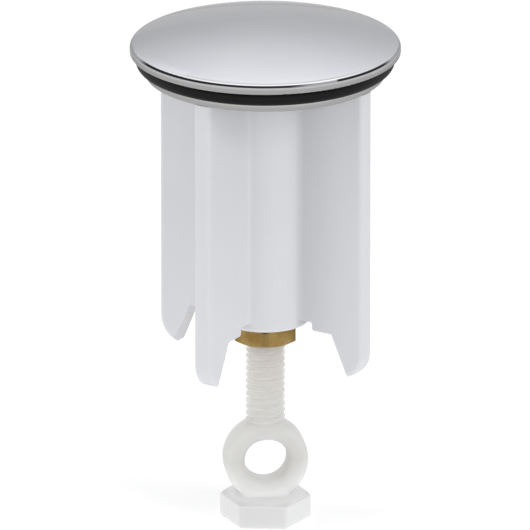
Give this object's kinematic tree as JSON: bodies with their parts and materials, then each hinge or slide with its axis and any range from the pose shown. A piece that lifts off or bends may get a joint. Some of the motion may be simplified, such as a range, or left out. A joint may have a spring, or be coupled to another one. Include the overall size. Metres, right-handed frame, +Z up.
{
  "type": "pop-up basin plug",
  "caption": "Pop-up basin plug: domed chromed cap with an O-ring, finned plastic guide for the waste pipe, brass lock nut and a nylon eye screw for the lever.",
  "frame": {"origin": "centre of the foot's underside, on the plug's axis", "axes": "+Z up along the plug's axis from the foot to the cap; -Y out of the lever eye towards the viewer; +X to the viewer's right"},
  "size_m": [0.04, 0.04, 0.0766],
  "materials": {
    "chrome_plate": "polished chrome plate on turned brass",
    "black_rubber": "moulded, satin",
    "white_plastic": "injection moulded, semi-gloss",
    "brass": "turned, slightly tarnished",
    "natural_nylon": "natural nylon, slightly translucent"
  },
  "bodies": {
    "eye_screw": {"eye_screw": "natural_nylon"},
    "cap_head": {"plug_cap": "chrome_plate", "seal_ring": "black_rubber"},
    "guide_body": {"guide_body": "white_plastic"},
    "lock_nut": {"lock_nut": "brass"}
  },
  "joints": [
    {"name": "head_height", "type": "slide", "parent": "eye_screw", "child": "cap_head", "axis": [0, 0, 1], "range_m": [-0.006, 0.005]},
    {"name": "lock_nut_turn", "type": "hinge", "parent": "cap_head", "child": "lock_nut", "pos_m": [0, 0, 0.0296], "axis": [0, 0, 1], "range_deg": [-2180, 1820]},
    {"name": "guide_swivel", "type": "hinge", "parent": "cap_head", "child": "guide_body", "pos_m": [0, 0, 0.05], "axis": [0, 0, 1], "continuous": true}
  ],
  "couplings": [
    {"joint": "lock_nut_turn", "follows": "head_height", "rad_per_m": 6283.2}
  ]
}
